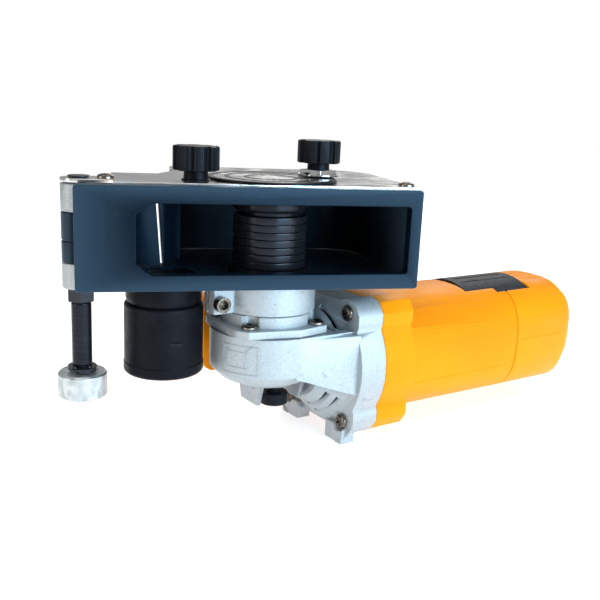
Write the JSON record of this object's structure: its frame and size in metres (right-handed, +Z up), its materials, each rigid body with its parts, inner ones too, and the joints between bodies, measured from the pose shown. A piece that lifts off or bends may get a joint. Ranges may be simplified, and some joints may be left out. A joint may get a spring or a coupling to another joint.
{
  "type": "biscuit joiner",
  "caption": "Slot-cutting joiner: a clamped cutter box with hinged front shoe, arbor and dust port on an angle-grinder motor unit.",
  "frame": {"origin": "middle of the base of the object's box, level with the lowest point, the two feet of the gear case", "axes": "+X along the front shoe towards the motor tail, the object's longest extent; -Y is the way the front shoe faces the work; +Z up along the cutter arbor"},
  "size_m": [0.3964, 0.1964, 0.1985],
  "materials": {
    "black_coat": "satin black coating with a cool sheen and light edge wear",
    "black_steel": "blackened steel, satin",
    "black_plastic": "moulded black plastic, satin",
    "bright_steel": "polished plate",
    "screw_steel": "dark zinc plate",
    "cast_silver": "silver paint with fine metallic flake",
    "turned_aluminium": "turned, scuffed",
    "gear_steel": "machined steel",
    "copper": "wound copper and laminations",
    "carbon": "sintered carbon",
    "yellow_plastic": "semi-gloss moulded nylon",
    "grey_rubber": "dark grey soft-touch plastic"
  },
  "bodies": {
    "motor_unit": {"gear_case": "cast_silver", "pinion_bearing": "gear_steel", "bearing_cover": "cast_silver", "spindle_bearing": "gear_steel", "cover_screw_1": "screw_steel", "cover_screw_2": "screw_steel", "cover_screw_3": "screw_steel", "cover_screw_4": "screw_steel", "flange_screw_1": "screw_steel", "flange_screw_2": "screw_steel", "flange_screw_3": "screw_steel", "flange_screw_4": "screw_steel", "motor_housing": "yellow_plastic", "rear_cover": "yellow_plastic", "cord_gland": "grey_rubber", "field_core": "gear_steel", "rear_bearing": "gear_steel", "carbon_brush_1": "carbon", "carbon_brush_2": "carbon", "side_handle": "yellow_plastic"},
    "cutter_box": {"left_housing_wall": "black_coat", "housing_wall": "black_coat", "bottom_plate": "black_coat", "top_plate": "bright_steel", "access_cover": "bright_steel", "plate_screw_right": "screw_steel", "plate_screw_left": "screw_steel", "hinge_bracket": "cast_silver", "hinge_axle": "black_steel", "post_nut": "black_steel", "support_post": "black_steel", "spring_washer": "black_steel", "dust_port_neck": "black_plastic", "dust_port_sleeve": "black_plastic", "clamp_collar": "cast_silver", "clamp_bolt": "black_steel", "clamp_block": "bright_steel"},
    "front_shoe": {"front_frame": "black_coat"},
    "guide_roller": {"roller": "turned_aluminium", "roller_bolt": "black_steel"},
    "left_knob": {"left_star_knob": "black_plastic"},
    "right_knob": {"right_star_knob": "black_plastic"},
    "arbor": {"arbor_shaft": "gear_steel", "base_flange": "black_steel", "spacer_ring_1": "black_steel", "spacer_ring_2": "black_steel", "spacer_ring_3": "black_steel", "spacer_ring_4": "black_steel", "spacer_ring_5": "black_steel", "spacer_ring_6": "black_steel", "spacer_ring_7": "black_steel", "top_flange": "black_steel", "crown_gear": "gear_steel"},
    "armature": {"armature_shaft": "gear_steel", "armature_core": "copper", "commutator": "copper", "cooling_fan": "black_plastic", "bevel_pinion": "gear_steel"},
    "paddle": {"switch_paddle": "grey_rubber"},
    "spindle_lock": {"lock_button": "black_plastic"}
  },
  "joints": [
    {"name": "box_swivel", "type": "hinge", "parent": "motor_unit", "child": "cutter_box", "pos_m": [-0.06658, -0.05508, 0.112], "axis": [0, 0, 1], "range_deg": [-15, 75]},
    {"name": "shoe_swing", "type": "hinge", "parent": "cutter_box", "child": "front_shoe", "pos_m": [-0.18338, -0.06658, 0.139], "axis": [0, 0, -1], "range_deg": [0, 18]},
    {"name": "roller_spin", "type": "hinge", "parent": "cutter_box", "child": "guide_roller", "pos_m": [-0.18338, -0.06658, 0.048], "axis": [0, 0, 1], "continuous": true},
    {"name": "left_knob_turn", "type": "hinge", "parent": "cutter_box", "child": "left_knob", "pos_m": [-0.11588, -0.07008, 0.18], "axis": [0, 0, 1], "continuous": true},
    {"name": "right_knob_turn", "type": "hinge", "parent": "cutter_box", "child": "right_knob", "pos_m": [-0.03358, -0.04408, 0.185], "axis": [0, 0, 1], "continuous": true},
    {"name": "arbor_spin", "type": "hinge", "parent": "motor_unit", "child": "arbor", "pos_m": [-0.06658, -0.05508, 0.112], "axis": [0, 0, 1], "continuous": true},
    {"name": "armature_spin", "type": "hinge", "parent": "motor_unit", "child": "armature", "pos_m": [-0.06658, -0.05508, 0.052], "axis": [0.9397, 0.342, 0], "continuous": true},
    {"name": "paddle_press", "type": "hinge", "parent": "motor_unit", "child": "paddle", "pos_m": [0.08377, -0.00035, 0.094], "axis": [-0.342, 0.9397, 0], "range_deg": [0, 2], "stiffness_Nm_per_rad": 1.5, "springref_deg": -5.73},
    {"name": "spindle_lock_press", "type": "slide", "parent": "motor_unit", "child": "spindle_lock", "axis": [0, 0, 1], "range_m": [0, 0.004], "stiffness_N_per_m": 600, "springref_m": -0.003}
  ],
  "couplings": [
    {"joint": "armature_spin", "follows": "arbor_spin", "ratio": -3}
  ]
}
